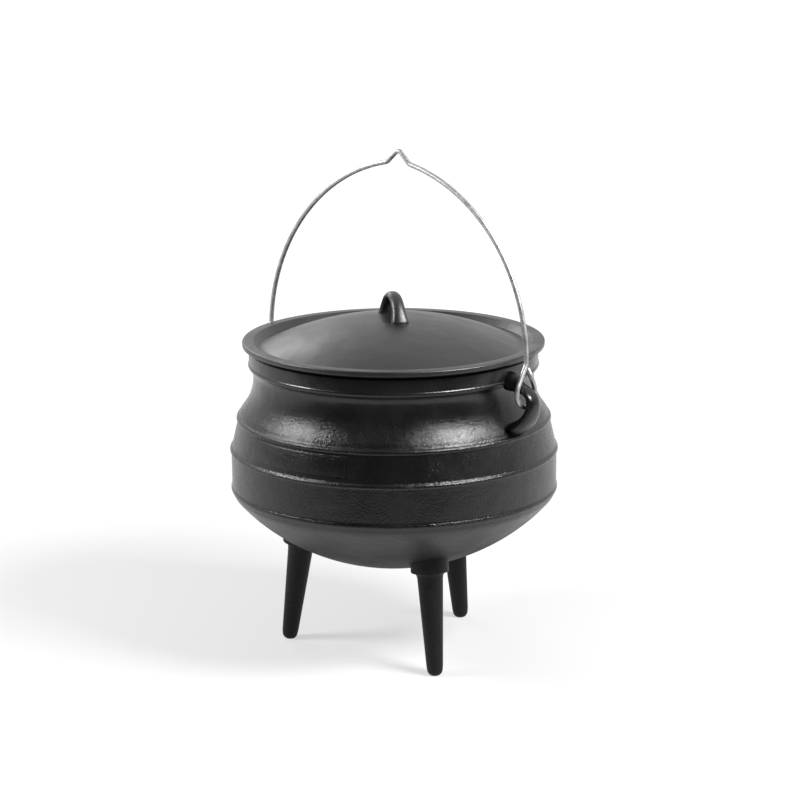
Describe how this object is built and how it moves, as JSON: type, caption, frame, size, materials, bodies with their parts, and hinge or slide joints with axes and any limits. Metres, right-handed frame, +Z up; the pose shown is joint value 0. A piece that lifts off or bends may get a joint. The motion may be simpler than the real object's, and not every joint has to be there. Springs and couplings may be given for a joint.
{
  "type": "cast iron cauldron",
  "caption": "Three-legged cast iron cauldron with raised rings, a dished lid with a loop handle, and a bent wire bail that swings in two ears.",
  "frame": {"origin": "on the ground, under the middle of the pot", "axes": "+Z up; the two ears lie on the X axis; the front, where the bail's eyes turn forward, is -Y"},
  "size_m": [0.3356, 0.3106, 0.4778],
  "materials": {
    "pot_iron": "sand-cast, black baked coating, satin",
    "lid_iron": "sand-cast, black baked coating, satin",
    "bail_wire": "galvanised wire, bright"
  },
  "bodies": {
    "pot": {"pot": "pot_iron", "lid": "lid_iron"},
    "bail": {"bail": "bail_wire"}
  },
  "joints": [
    {"name": "bail_swing", "type": "hinge", "parent": "pot", "child": "bail", "pos_m": [0, 0, 0.27004], "axis": [1, 0, 0], "range_deg": [-122, 127]}
  ]
}
